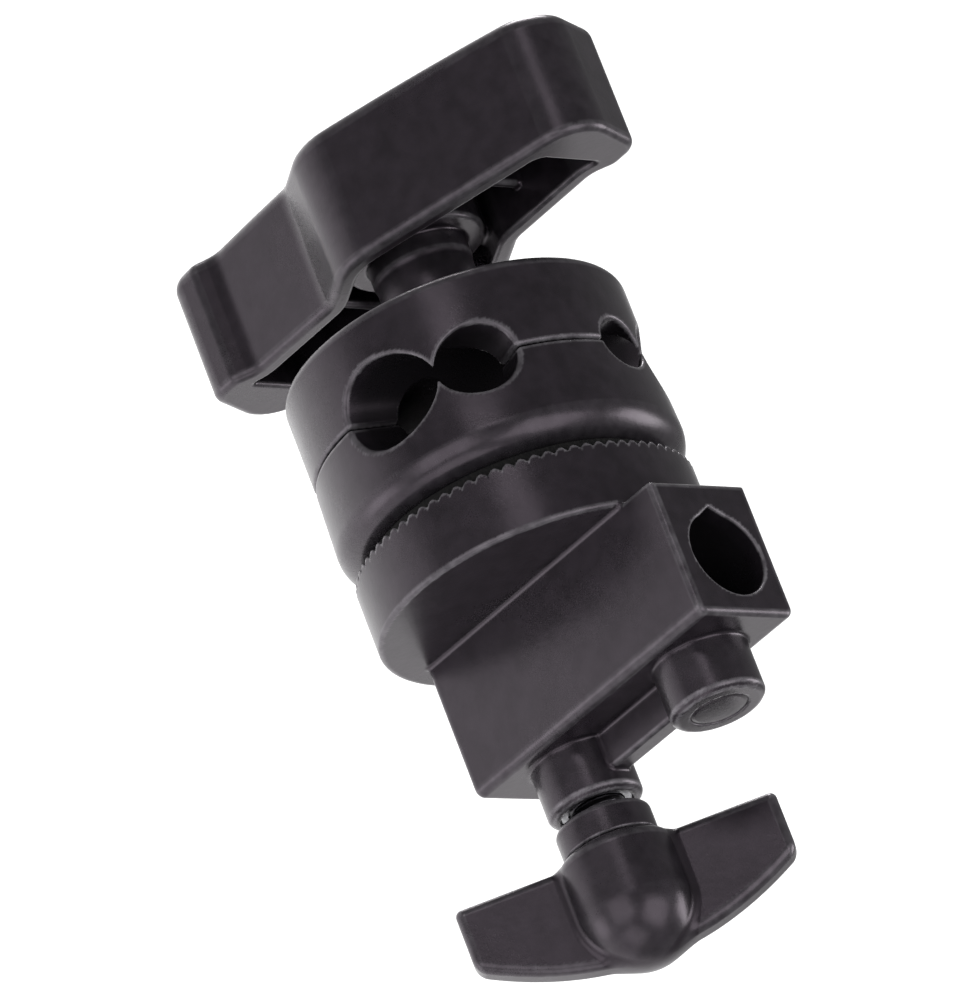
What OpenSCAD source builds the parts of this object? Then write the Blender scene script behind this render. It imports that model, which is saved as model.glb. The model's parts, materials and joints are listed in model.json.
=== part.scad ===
// Grip head: a stand-pin socket block carrying a swivelling pair of grooved
// clamping jaws, squeezed together by a T-handle on a central bolt.
// Frame: +Z runs up the socket, as it stands on a stand's pin; +X runs along
// the head's bolt towards the T-handle. The origin is on the socket's axis, at
// the socket's lower mouth. All sizes are in millimetres.

/* [Socket block] */
// Diameter of the stand-pin socket, for a 5/8 in pin
socket_d = 16; // [15.9:0.05:16.3]
// Length of the block along the socket
block_len = 63; // [60:1:70]
// Socket axis to the block's near side wall
block_front = 11.9; // [11:0.1:13]
// Socket axis to the block's far side wall
block_back = 10.5; // [10:0.1:12]
// Socket axis to the block's screw face
block_foot = 12; // [11.5:0.1:12.5]
// Rounding of the block's long edges, on the screw side
block_r = 1.6; // [0.8:0.1:2.5]

/* [Screw bosses] */
// Height of both bosses above the screw face
boss_h = 10.2; // [10:0.1:12]
// Diameter of both bosses
boss_d = 17.2; // [16.5:0.1:18]
// Height of the working boss up the socket
boss_z = 14.5; // [13:0.5:16]
// Spacing between the two bosses
boss_pitch = 34; // [32:0.5:38]
// Height of the rib that joins the bosses
rib_h = 6.8; // [5:0.1:9]
// Thickness of the rib
rib_t = 4.6; // [3:0.2:6]

/* [Swivel disc] */
// Socket axis to the flat back of the disc
disc_x = 13.9; // [13.5:0.1:15]
// Distance of the bolt's axis from the socket's axis, sideways
head_y = 3.5; // [2:0.1:4.5]
// Height of the bolt's axis up the socket
head_z = 25.2; // [24:0.1:28]
// Diameter of the swivel disc
disc_d = 61.8; // [60:0.2:64]
// Thickness of the swivel disc
disc_t = 12.7; // [12:0.1:14]
// Number of teeth round the disc's front rim
teeth = 80; // [72:8:80]
// Depth of the teeth
tooth_h = 0.9; // [0.8:0.1:1]

/* [Jaws] */
// Diameter of the jaws at the parting face
jaw_d = 62.4; // [60:0.2:64]
// Greatest diameter, near the foot of the inner jaw
jaw_foot_d = 63.5; // [62:0.1:65]
// Thickness of the inner jaw
inner_t = 17.7; // [16:0.1:18]
// Thickness of the outer jaw
outer_t = 16.7; // [16:0.1:18]
// Turn of the groove pattern about the bolt
jaw_turn = 74.5; // [0:0.5:180]
// Tube diameter held by each groove
groove_d = [16, 12.8, 9.6, 6.4];
// Distance of each groove from the bolt's axis
groove_off = [15.2, 13.8, 15, 20];

/* [T-handle] */
// Height of the handle's grip along the bolt
grip_h = 26; // [24:0.2:27]
// Jaw face to the underside of the grip
grip_gap = 15.2; // [14:0.2:18]
// Radius of the crown along the grip's top
crown_r = 630; // [500:10:900]
// Thickness of the grip's walls
grip_wall = 3.8; // [3:0.1:4.5]
// Half length of the hollow under the grip
hollow_half = 37.3; // [34:0.1:38]
// Outer diameter of the handle's collar
collar_d = 17.6; // [17:0.1:19]

/* [Wing knob] */
// Gap between the working boss and the knob's neck
neck_gap = 1.9; // [1.8:0.1:2.5]
// Length of the neck
neck_len = 6; // [5:0.1:7]
// Diameter of the hub
hub_d = 21; // [20:0.2:23]
// Length of the hub, neck to the end of its dome
hub_len = 22.5; // [20:0.1:24]
// Half span of the wings
wing_half = 29.2; // [26:0.1:30]
// Height of a wing at its tip
wing_tip_h = 12.4; // [10:0.1:14]
// Height of the wings at the hub
wing_mid_h = 21; // [19:0.1:22]
// Thickness of the wings
wing_t = 5.6; // [5:0.1:6.5]
// Turn of the wings about the screw
wing_turn = 137.3; // [0:0.1:180]

/* [Screws] */
// Major diameter of the central bolt and of the clamp screw
screw_d = 10; // [10:0.01:10.02]
// Thread pitch of both
pitch = 1.5; // [1.25:0.25:1.5]
// Running clearance on the radius
run_c = 0.05; // [0.03:0.01:0.08]

/* [Hidden] */
$fn = 96;
BLACK = [0.09, 0.085, 0.095];
STEEL = [0.62, 0.62, 0.64];
ZINC = [0.74, 0.73, 0.68];
NYLON = [0.13, 0.13, 0.13];
BRASS = [0.78, 0.62, 0.32];

screw_r = screw_d / 2;
thread_h = 0.54 * pitch;
socket_r = socket_d / 2;
seat_half = 58;
seat_tip = 1.163 * socket_r;

// Stations along the bolt, measured from the disc's flat back.
recess_deep = 1.4;
recess_r = disc_d / 2 - 2.9;
fibre_from = disc_t - recess_deep;
inner_from = disc_t + 2.3;
part_from = inner_from + inner_t;
outer_from = part_from + 0.3;
outer_to = outer_from + outer_t;
washer_t = 1.3;
roller_r = 0.9;
washer1_from = outer_to + 0.05;
roller_from = washer1_from + washer_t;
washer2_from = roller_from + 2 * roller_r;
collar_from = washer2_from + washer_t + 0.05;
grip_from = outer_to + grip_gap;
grip_to = grip_from + grip_h;
insert_to = collar_from + 16.6;
handle_travel = 7.5;
stop_from = insert_to + handle_travel + 0.2;
stop_t = 1.5;
nut_t = 4.3;
bolt_to = stop_from + stop_t + nut_t + 0.7;
bolt_foot = -1.5;
cap_t = 3;
cavity_r = 10.3;
insert_r = 7;

// The thrust bearing's washers and rollers.
washer_r = 12.6;
rollers = 12;
roller_len = 4.4;
roller_start = 6.9;

// The pin that locks the bolt into the casting.
pin_r = 2;
pin_at = 6.4;
pin_far = 6.5;
pin_near = 14;

// The spring and its pockets in the jaws.
pocket_r = 6.8;
pocket_deep = 5;
spring_r = 5.9;
wire_r = 0.5;
spring_turns = 5;
spring_from = part_from - pocket_deep;
spring_len = outer_from - part_from + 2 * pocket_deep;

// The pins that key the outer jaw to the inner jaw.
guide_r = 2.25;
guide_at = [25.2, -4.5];
guide_from = part_from - 8;
guide_len = 22;
guide_c = 0.1;
guide_end_c = 0.5;

// Stations along the clamp screw, as X in the part's frame.
boss_end = -block_foot - boss_h;
neck_from = boss_end - neck_gap;
neck_to = neck_from - neck_len;
hub_end = neck_to - hub_len;
neck_r = boss_d / 2;
bush_r = 6.6;
bush_deep = 10.2;
bush_skirt = 0.5;
pad_face = -socket_r - 0.3;
pad_t = 3;
pad_r = 4.9;
pad_c = 0.3;
pad_bore_from = 3 - socket_r;
peg_r = 2;
screw_from = pad_face - pad_t - 0.05;
screw_held = 12;
screw_to = neck_to - screw_held;
key_r = 1.5;
key_at = neck_from - 3;
badge_r = 5.2;
badge_t = 1.2;

// Half of the grip's plan outline: [across, along, corner radius]. The other
// half is the same turned by 180 degrees.
GRIP_HALF = [
    [-37, -15.2, 3], [-33.5, -12.6, 5], [-12.7, -12.4, 6],
    [-0.3, -19.2, 13], [50.2, -3.6, 8.5], [43.4, 15.3, 4.5],
];
GRIP = concat(GRIP_HALF, [for (v = GRIP_HALF) [-v.x, -v.y, v[2]]]);

// Points of an arc that rounds corner q, between its neighbours p and s.
function corner(p, q, s, r, n = 6) =
    let (
        a = (p - q) / norm(p - q),
        b = (s - q) / norm(s - q),
        half = acos(a * b) / 2,
        c = q + (a + b) / norm(a + b) * r / sin(half),
        from = q + a * r / tan(half) - c,
        to = q + b * r / tan(half) - c,
        start = atan2(from.y, from.x),
        sweep = (atan2(to.y, to.x) - start + 540) % 360 - 180
    )
    [for (i = [0:n]) c + r * [cos(start + sweep * i / n), sin(start + sweep * i / n)]];

// Points of a regular outline.
function around(r, n) = [for (i = [0:n - 1]) r * [cos(360 * i / n), sin(360 * i / n)]];

// A closed outline whose corners, given as [x, y, radius], are rounded.
function rounded(v) =
    let (k = len(v))
    [for (i = [0:k - 1]) let (p = v[(i + k - 1) % k], q = v[i], s = v[(i + 1) % k])
        each corner([p.x, p.y], [q.x, q.y], [s.x, s.y], q[2])];

// Rings of points round a helical wire, for the spring.
function coil_rings(r, wire, turns, len, per_turn = 14, sides = 8) =
    [for (i = [0:turns * per_turn]) let (t = 360 * i / per_turn)
        [for (j = [0:sides - 1]) let (a = 360 * j / sides, d = r + wire * cos(a))
            [d * cos(t), d * sin(t), wire + (len - 2 * wire) * i / turns / per_turn
                + wire * sin(a)]]];

// Closed tube through rings of points.
module tube_through(rings) {
    n = len(rings[0]);
    last = len(rings) - 1;
    polyhedron(
        points = [for (ring = rings) each ring],
        faces = concat(
            [[for (j = [0:n - 1]) j]],
            [for (i = [0:last - 1], j = [0:n - 1])
                let (a = i * n + j, b = i * n + (j + 1) % n) [a, a + n, b + n, b]],
            [[for (j = [n - 1:-1:0]) last * n + j]]
        )
    );
}

// Places children, drawn along +Z, on the bolt's axis with Z = 0 at the disc's back.
module on_head() {
    translate([disc_x, head_y, head_z]) rotate([0, 90, 0]) children();
}

// Places children, drawn along +Z, on a boss's axis, running out of the boss.
module on_boss(at_z, x) {
    translate([x, 0, at_z]) rotate([0, -90, 0]) children();
}

// Ring grooves of a thread, cut from a bar.
module thread_bar(r, len) {
    rings = floor(len / pitch);
    rotate_extrude()
        polygon(concat(
            [[0, 0], [r - thread_h, 0]],
            [for (i = [0:rings - 1]) each [
                [r - thread_h, (i + 0.15) * pitch], [r, (i + 0.45) * pitch],
                [r, (i + 0.6) * pitch], [r - thread_h, (i + 0.9) * pitch],
            ]],
            [[r - thread_h, len], [0, len]]
        ));
}

// Flat ring.
module ring(outer, inner, t) {
    difference() {
        cylinder(h = t, r = outer);
        translate([0, 0, -1]) cylinder(h = t + 2, r = inner);
    }
}

// ---- Casting, bolt and what stays with them ----

module block_shape() {
    core = 4;
    linear_extrude(block_len)
        polygon(concat(
            [[disc_x, -block_back], [disc_x, block_front]],
            corner([disc_x, block_front], [-block_foot, block_front],
                [-block_foot, -block_back], block_r),
            corner([-block_foot, block_front], [-block_foot, -block_back],
                [disc_x, -block_back], block_r)
        ));
    // Ties the block to the disc
    translate([disc_x - core, core - block_back, core])
        cube([2 * core, block_front + block_back - 2 * core, 2 * (head_z - core)]);
}

module boss(at_z) {
    chamfer = 1;
    on_boss(at_z, -block_foot + 1) {
        cylinder(h = boss_h + 1 - chamfer, d = boss_d);
        translate([0, 0, boss_h + 1 - chamfer])
            cylinder(h = chamfer, r1 = boss_d / 2, r2 = boss_d / 2 - chamfer);
    }
}

module socket_cut() {
    translate([0, 0, -1]) cylinder(h = block_len + 2, r = socket_r);
    // V seat on the side of the head, its sides close to tangent to the socket
    foot = seat_tip * sin(seat_half) * [sin(seat_half), cos(seat_half)];
    translate([0, 0, -1]) linear_extrude(block_len + 2)
        polygon([[0, 0], [foot.x, -foot.y], [seat_tip, 0], foot]);
}

// Toothed rim round the friction disc. Its walls are flat from tooth to tooth.
module toothed_rim() {
    bite = 0.5;
    sides = 2 * teeth;
    side = tooth_h * sqrt(2);
    difference() {
        translate([0, 0, fibre_from - bite]) linear_extrude(recess_deep + bite)
            difference() {
                polygon(around(disc_d / 2 - 0.1, sides));
                polygon(around(recess_r, sides));
            }
        for (i = [0:teeth - 1])
            rotate([0, 0, (i + 0.25) * 360 / teeth]) translate([disc_d / 2, 0, disc_t])
                rotate([45, 0, 0]) cube([8, side, side], center = true);
    }
}

module body_casting() {
    color(BLACK) difference() {
        union() {
            block_shape();
            on_head() {
                cylinder(h = fibre_from, d = disc_d);
                toothed_rim();
            }
            boss(boss_z);
            boss(boss_z + boss_pitch);
            translate([-block_foot - rib_h, -rib_t / 2, boss_z])
                cube([rib_h + 1, rib_t, boss_pitch]);
        }
        socket_cut();
        on_head() {
            translate([0, 0, bolt_foot]) cylinder(h = disc_t - bolt_foot, r = screw_r);
            translate([0, pin_far, pin_at]) rotate([90, 0, 0])
                cylinder(h = disc_d, r = pin_r);
        }
        on_boss(boss_z, pad_bore_from)
            cylinder(h = pad_bore_from - boss_end + 1, r = pad_r + pad_c);
        on_boss(boss_z, boss_end + bush_deep) cylinder(h = bush_deep + 1, r = bush_r);
        on_boss(boss_z + boss_pitch, boss_end + badge_t)
            cylinder(h = badge_t + 1, r = badge_r);
    }
}

module main_bolt() {
    color(STEEL) on_head() difference() {
        union() {
            translate([0, 0, bolt_foot]) cylinder(h = outer_to - bolt_foot, r = screw_r);
            translate([0, 0, outer_to]) thread_bar(screw_r, bolt_to - outer_to);
        }
        translate([0, pin_far, pin_at]) rotate([90, 0, 0]) cylinder(h = 3 * pin_far, r = pin_r);
    }
}

module bolt_cross_pin() {
    color(STEEL) on_head() translate([0, pin_far, pin_at]) rotate([90, 0, 0])
        cylinder(h = pin_far + pin_near, r = pin_r);
}

module friction_disc() {
    color(NYLON) on_head() translate([0, 0, fibre_from])
        ring(recess_r - 0.3, screw_r + 0.6, inner_from - fibre_from - 0.1);
}

module bolt_stop_washer() {
    color(STEEL) on_head() translate([0, 0, stop_from]) ring(9, screw_r, stop_t);
}

module bolt_stop_nut() {
    hex_r = 9.2;
    color(STEEL) on_head() translate([0, 0, stop_from + stop_t]) difference() {
        cylinder(h = nut_t, r = hex_r, $fn = 6);
        translate([0, 0, -1]) cylinder(h = nut_t + 2, r = screw_r);
    }
}

module screw_bush() {
    color(STEEL) on_boss(boss_z, boss_end + bush_deep)
        ring(bush_r, screw_r + run_c, bush_deep - bush_skirt);
}

module boss_badge() {
    color(BLACK) on_boss(boss_z + boss_pitch, boss_end + badge_t)
        cylinder(h = badge_t, r = badge_r);
}

// ---- Jaws ----

// Grooves for tubes, on the parting face: two pairs that cross at right angles.
module groove_cuts() {
    reach = jaw_foot_d;
    rotate([0, 0, jaw_turn]) {
        translate([-reach, groove_off[0], 0]) rotate([0, 90, 0])
            cylinder(h = 2 * reach, d = groove_d[0]);
        translate([groove_off[1], reach, 0]) rotate([90, 0, 0])
            cylinder(h = 2 * reach, d = groove_d[1]);
        translate([-groove_off[2], reach, 0]) rotate([90, 0, 0])
            cylinder(h = 2 * reach, d = groove_d[2]);
        translate([-reach, -groove_off[3], 0]) rotate([0, 90, 0])
            cylinder(h = 2 * reach, d = groove_d[3]);
    }
}

module at_guides() {
    rotate([0, 0, jaw_turn]) for (side = [-1, 1])
        translate([side * guide_at.x, guide_at.y, 0]) children();
}

module inner_jaw() {
    foot_r = 4.2;
    steps = 6;
    color(BLACK) on_head() difference() {
        translate([0, 0, inner_from]) rotate_extrude()
            polygon(concat(
                [[0, 0]],
                [for (i = [0:steps]) let (a = 90 * i / steps)
                    [jaw_foot_d / 2 - foot_r + foot_r * sin(a), foot_r - foot_r * cos(a)]],
                [[jaw_d / 2, inner_t], [0, inner_t]]
            ));
        translate([0, 0, (part_from + outer_from) / 2]) groove_cuts();
        translate([0, 0, inner_from - 1]) cylinder(h = inner_t + 2, r = screw_r + run_c);
        translate([0, 0, part_from - pocket_deep])
            cylinder(h = pocket_deep + 1, r = pocket_r);
        translate([0, 0, guide_from]) at_guides()
            cylinder(h = part_from - guide_from + 1, r = guide_r);
    }
}

module jaw_guide_pins() {
    color(STEEL) on_head() translate([0, 0, guide_from]) at_guides()
        cylinder(h = guide_len, r = guide_r);
}

module jaw_spring() {
    color(STEEL) on_head() translate([0, 0, spring_from])
        tube_through(coil_rings(spring_r, wire_r, spring_turns, spring_len));
}

module outer_jaw() {
    top_r = 1.8;
    steps = 4;
    color(BLACK) on_head() difference() {
        translate([0, 0, outer_from]) rotate_extrude()
            polygon(concat(
                [[0, 0], [jaw_d / 2, 0]],
                [for (i = [0:steps]) let (a = 90 * i / steps)
                    [jaw_d / 2 - top_r + top_r * cos(a), outer_t - top_r + top_r * sin(a)]],
                [[0, outer_t]]
            ));
        translate([0, 0, (part_from + outer_from) / 2]) groove_cuts();
        translate([0, 0, outer_from - 1]) cylinder(h = outer_t + 2, r = screw_r + run_c);
        translate([0, 0, part_from]) {
            cylinder(h = outer_from - part_from + pocket_deep, r = pocket_r);
            at_guides() cylinder(h = guide_from + guide_len - part_from + guide_end_c,
                r = guide_r + guide_c);
        }
    }
}

// ---- Thrust bearing ----

module at_rollers() {
    for (i = [0:rollers - 1]) rotate([0, 0, i * 360 / rollers])
        translate([roller_start, 0, roller_from + roller_r]) rotate([0, 90, 0]) children();
}

module thrust_washer_lower() {
    color(STEEL) on_head() translate([0, 0, washer1_from])
        ring(washer_r, screw_r + 0.2, washer_t);
}

module roller_cage() {
    color(ZINC) on_head() difference() {
        translate([0, 0, roller_from + 0.2])
            ring(washer_r - 0.3, screw_r + 0.3, 2 * roller_r - 0.4);
        at_rollers() translate([-2, -1, -0.1]) cube([4, 2, roller_len + 0.2]);
    }
}

module needle_rollers() {
    color(STEEL) on_head() at_rollers() cylinder(h = roller_len, r = roller_r, $fn = 32);
}

module thrust_washer_upper() {
    color(STEEL) on_head() translate([0, 0, washer2_from])
        ring(washer_r, screw_r + 0.2, washer_t);
}

// ---- T-handle ----

// Edge i of the grip's outline moved inwards, as [point, direction].
function moved_edge(i, d) =
    let (
        k = len(GRIP),
        a = [GRIP[i % k].x, GRIP[i % k].y],
        b = [GRIP[(i + 1) % k].x, GRIP[(i + 1) % k].y],
        t = (b - a) / norm(b - a)
    )
    [a + d * [-t.y, t.x], t];

// Where two such edges cross.
function cross_at(e, f) =
    let (w = f[0] - e[0], s = cross(w, f[1]) / cross(e[1], f[1]))
    e[0] + s * e[1];

function grip_inset(d) =
    let (k = len(GRIP))
    [for (i = [0:k - 1]) let (q = cross_at(moved_edge(i + k - 1, d), moved_edge(i, d)))
        [q.x, q.y, 1.5]];

module grip_hollow() {
    rib_x = 20;
    rib = 2;
    roof = 4;
    web = 2.5;
    web_floor = 1.8;
    depth = grip_h - roof;
    difference() {
        intersection() {
            linear_extrude(depth) polygon(rounded(grip_inset(grip_wall)));
            translate([-hollow_half, -20, -1]) cube([2 * hollow_half, 40, depth + 2]);
        }
        // Web round the bolt's cavity, and a cross rib in each arm
        translate([0, 0, -2]) cylinder(h = depth + 4, d = collar_d);
        translate([0, 0, insert_to - grip_from - web_floor])
            cylinder(h = depth, r = cavity_r + web);
        for (side = [-1, 1]) translate([side * rib_x - rib / 2, -20, 6])
            cube([rib, 40, depth]);
    }
}

// The grip's solid outline, its top a shallow arch along the arms.
module crowned_grip() {
    intersection() {
        translate([0, 0, grip_from]) linear_extrude(grip_h) polygon(rounded(GRIP));
        translate([0, 60, grip_to - crown_r]) rotate([90, 0, 0])
            cylinder(h = 120, r = crown_r, $fn = 360);
    }
}

module t_handle() {
    flange_r = 11.5;
    flange_t = 2.4;
    color(BLACK) on_head() difference() {
        union() {
            difference() {
                crowned_grip();
                translate([0, 0, grip_from - 0.01]) grip_hollow();
            }
            translate([0, 0, collar_from])
                cylinder(h = grip_to - cap_t - 1 - collar_from, d = collar_d);
            translate([0, 0, collar_from]) cylinder(h = flange_t, r = flange_r);
        }
        translate([0, 0, collar_from - 1])
            cylinder(h = insert_to - collar_from + 2, r = insert_r);
        translate([0, 0, insert_to]) cylinder(h = grip_to - insert_to + 1, r = cavity_r);
    }
}

module handle_insert() {
    color(STEEL) on_head() translate([0, 0, collar_from])
        ring(insert_r, screw_r + run_c, insert_to - collar_from);
}

module handle_cap() {
    color(BLACK) on_head() translate([0, 0, grip_to - cap_t])
        cylinder(h = cap_t, r = cavity_r);
}

// ---- Clamp screw and wing knob ----

module pressure_pad() {
    color(BRASS) on_boss(boss_z, pad_face) difference() {
        cylinder(h = pad_t, r = pad_r);
        translate([0, 0, 1]) cylinder(h = pad_t, r = peg_r + run_c);
    }
}

module clamp_screw() {
    color(STEEL) difference() {
        on_boss(boss_z, screw_from) {
            thread_bar(screw_r, screw_from - neck_from);
            translate([0, 0, -1.9]) cylinder(h = 3, r = peg_r);
            translate([0, 0, screw_from - neck_from])
                cylinder(h = neck_from - screw_to, r = screw_r - thread_h);
        }
        key_bar();
    }
}

// The cross pin through the knob's neck, from the far side to past the screw.
module key_bar() {
    key_past = 6.2;
    on_boss(boss_z, key_at) rotate([0, 0, -42]) rotate([90, 0, 0])
        translate([0, 0, -key_past]) cylinder(h = neck_r + key_past, r = key_r);
}

module wing_cross_pin() {
    color(STEEL) intersection() {
        key_bar();
        on_boss(boss_z, neck_from) cylinder(h = neck_len, r = neck_r - 0.3);
    }
}

module knob_hub() {
    groove = 0.5;
    edge = 1;
    steps = 8;
    hub_r = hub_d / 2;
    dome = 11;
    rotate_extrude()
        polygon(concat(
            [[0, 0], [neck_r - edge, 0], [neck_r, edge], [neck_r, neck_len - groove],
                [neck_r - groove, neck_len], [hub_r - 1.5, neck_len + groove],
                [hub_r, neck_len + 3]],
            [for (i = [0:steps]) let (a = 90 * i / steps)
                [hub_r * cos(a), neck_len + hub_len - dome + dome * sin(a)]]
        ));
}

module wing_blade() {
    top = neck_len + 0.8;
    low = neck_len + wing_mid_h;
    steps = 8;
    // Lower edge: a parabola from tip to tip
    translate([0, wing_t / 2, 0]) rotate([90, 0, 0]) linear_extrude(wing_t)
        polygon(concat(
            [[-wing_half + 0.6, top], [-wing_half, top + 1]],
            [for (i = [-steps:steps]) let (s = i / steps)
                [s * wing_half, low - (wing_mid_h - wing_tip_h) * s * s]],
            [[wing_half, top + 1], [wing_half - 0.6, top]]
        ));
}

module wing_knob() {
    color(BLACK) difference() {
        on_boss(boss_z, neck_from) {
            knob_hub();
            rotate([0, 0, wing_turn]) wing_blade();
        }
        on_boss(boss_z, neck_from + 1)
            cylinder(h = neck_from - screw_to + 1, r = screw_r - thread_h);
        key_bar();
    }
}

body_casting();
main_bolt();
bolt_cross_pin();
friction_disc();
bolt_stop_washer();
bolt_stop_nut();
screw_bush();
boss_badge();
inner_jaw();
jaw_guide_pins();
jaw_spring();
outer_jaw();
thrust_washer_lower();
roller_cage();
needle_rollers();
thrust_washer_upper();
t_handle();
handle_insert();
handle_cap();
pressure_pad();
clamp_screw();
wing_knob();
wing_cross_pin();
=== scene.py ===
"""Grip head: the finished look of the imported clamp.

Every shape here is in millimetres, in the part's own frame: +Z up the stand socket, +X along the
head's bolt. A casting is a distance field, with its edges and fillets rounded where its faces meet,
and its mesh is drawn on that field's zero surface. Turned pieces are profiles swept round an axis.
"""

import json
import math

import bmesh
import bpy
import numpy as np
import openvdb
from mathutils import Matrix, Vector

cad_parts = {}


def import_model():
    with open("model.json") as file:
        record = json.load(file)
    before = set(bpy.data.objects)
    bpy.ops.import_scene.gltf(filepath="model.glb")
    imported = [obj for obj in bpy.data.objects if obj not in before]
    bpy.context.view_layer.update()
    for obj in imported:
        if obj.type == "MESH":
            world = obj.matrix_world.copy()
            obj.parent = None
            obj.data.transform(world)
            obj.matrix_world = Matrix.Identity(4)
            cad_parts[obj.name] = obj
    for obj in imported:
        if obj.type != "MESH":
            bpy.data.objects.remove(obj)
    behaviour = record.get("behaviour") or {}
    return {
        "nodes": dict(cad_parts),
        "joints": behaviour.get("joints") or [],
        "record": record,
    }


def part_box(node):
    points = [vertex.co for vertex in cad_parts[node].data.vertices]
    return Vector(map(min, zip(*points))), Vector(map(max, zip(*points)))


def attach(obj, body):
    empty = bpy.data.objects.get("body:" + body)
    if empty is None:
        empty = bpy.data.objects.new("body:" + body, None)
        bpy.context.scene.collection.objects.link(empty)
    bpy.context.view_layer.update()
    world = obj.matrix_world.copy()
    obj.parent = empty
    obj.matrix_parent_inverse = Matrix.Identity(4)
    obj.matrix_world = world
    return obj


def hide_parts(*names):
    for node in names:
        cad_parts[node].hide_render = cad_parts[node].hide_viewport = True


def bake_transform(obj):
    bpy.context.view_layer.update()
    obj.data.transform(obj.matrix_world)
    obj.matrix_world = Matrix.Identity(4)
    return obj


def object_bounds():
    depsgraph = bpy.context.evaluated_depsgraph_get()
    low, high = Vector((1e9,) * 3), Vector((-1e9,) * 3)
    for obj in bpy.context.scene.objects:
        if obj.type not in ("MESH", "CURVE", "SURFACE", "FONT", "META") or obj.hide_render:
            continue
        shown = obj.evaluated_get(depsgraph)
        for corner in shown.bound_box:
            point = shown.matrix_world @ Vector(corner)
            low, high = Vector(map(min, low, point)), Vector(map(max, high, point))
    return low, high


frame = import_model()
cad_low, cad_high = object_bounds()

MM = 0.001
JOINTS = {j["name"]: j for j in frame["joints"]}
MOUNTS = {m["name"]: m for m in frame["record"]["mounts"]}


def in_mm(point):
    return np.array(point, float) / MM


def box_mm(node):
    low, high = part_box(node)
    return in_mm(low), in_mm(high)


# ---- Places and sizes, from the frame ----

# The bolt's axis, at the flat back of the swivel disc.
HEAD = in_mm(JOINTS["jaw_swivel"]["pos_m"])
# The clamp screw's axis, by its height up the socket, and the second boss's height above it.
SCREW_Z = in_mm(JOINTS["wing_spin"]["pos_m"])[2]
BOSS_PITCH = sum(corner[2] for corner in box_mm("boss_badge")) / 2 - SCREW_Z
GROOVES = [MOUNTS[name] for name in sorted(MOUNTS) if name.startswith("jaw_hole")]
TINY = 1e-9


def station(node, end):
    """Where a node starts (0) or ends (1) along the bolt, from the disc's back."""
    return box_mm(node)[end][0] - HEAD[0]


def radius_of(node):
    """Radius of a node that is round about the bolt's axis."""
    return box_mm(node)[1][1] - HEAD[1]


BOLT_R = radius_of("main_bolt")
# The thinnest rounding, on drilled holes and turned recesses, and the next one up.
CRISP, EASED = 0.2, 0.25


# ---- Distance fields ----


def both(a, b, r=0.0):
    """Where both shapes are, with the edge between them rounded to r."""
    if r == 0:
        return np.maximum(a, b)
    u, v = np.maximum(a + r, 0), np.maximum(b + r, 0)
    return np.minimum(np.maximum(a, b), -r) + np.sqrt(u * u + v * v)


def join(a, b, r=0.0):
    """Where either shape is, with a fillet of r between them."""
    return -both(-a, -b, r)


def cut(a, b, r=0.0):
    """a without b, with the edge rounded to r."""
    return both(a, -b, r)


def between(v, low, high):
    """A slab, from low to high."""
    return np.maximum(low - v, v - high)


def off_axis(y, z, centre_y, centre_z):
    """Distance from an axis along X."""
    return np.hypot(y - centre_y, z - centre_z)


def off_bolt(y, z):
    return off_axis(y, z, HEAD[1], HEAD[2])


def off_line(x, y, z, point, axis):
    """Distance from the line through a point along a unit axis."""
    dx, dy, dz = x - point[0], y - point[1], z - point[2]
    along = dx * axis[0] + dy * axis[1] + dz * axis[2]
    return np.sqrt(
        (dx - along * axis[0]) ** 2 + (dy - along * axis[1]) ** 2 + (dz - along * axis[2]) ** 2
    )


def groove_field(x, y, z):
    """The tube grooves of the parting face, from the frame's mounts."""
    field = None
    for m in GROOVES:
        one = off_line(x, y, z, in_mm(m["pos_m"]), m["axis"]) - m["dims"]["r_mm"]
        field = one if field is None else np.minimum(field, one)
    return field


def unit(v):
    return v / np.linalg.norm(v)


def outline(corners):
    """Straight and round stretches of a closed outline, from its corners (x, y, radius)."""
    arcs = []
    n = len(corners)
    for i in range(n):
        p, q, s = (np.array(corners[k % n][:2], float) for k in (i - 1, i, i + 1))
        r = corners[i][2]
        a, b = unit(p - q), unit(s - q)
        half = math.acos(np.dot(a, b)) / 2
        centre = q + unit(a + b) * r / math.sin(half)
        reach = r / math.tan(half)
        turn = math.copysign(1, np.cross(q - p, s - q))
        arcs.append((centre, r, -unit(a + b), math.sin(half), turn, q + a * reach, q + b * reach))
    lines = [(arcs[i - 1][6], arcs[i][5]) for i in range(n)]
    return arcs, lines


def outline_field(shape, u, v):
    """Signed distance from such an outline, negative inside."""
    arcs, lines = shape
    far, slack = 1e6, 1e-4
    best = np.full(np.broadcast(u, v).shape, far)
    for start, end in lines:
        length = np.linalg.norm(end - start)
        t = (end - start) / length
        along = (u - start[0]) * t[0] + (v - start[1]) * t[1]
        side = (u - start[0]) * t[1] - (v - start[1]) * t[0]
        on = (along > -slack) & (along < length + slack) & (np.abs(side) < np.abs(best))
        best = np.where(on, side, best)
    for centre, r, towards, spread, turn, _, _ in arcs:
        du, dv = u - centre[0], v - centre[1]
        rho = np.hypot(du, dv)
        side = turn * (rho - r)
        on = du * towards[0] + dv * towards[1] > rho * spread - slack
        on &= np.abs(side) < np.abs(best)
        best = np.where(on, side, best)
    return best


# ---- Meshes ----

# Points step onto the surface this many times. A field flatter than this counts as this steep.
SETTLE_STEPS = 3
FLATTEST = 0.25
# An edge is measured over this many mm each way, and its bend (1/mm) is scaled by this for the paint,
# which lightens sharp edges as wear and painted highlight.
EDGE_REACH = 0.06
EDGE_GAIN = 0.5
PITCH = 1.5
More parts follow.
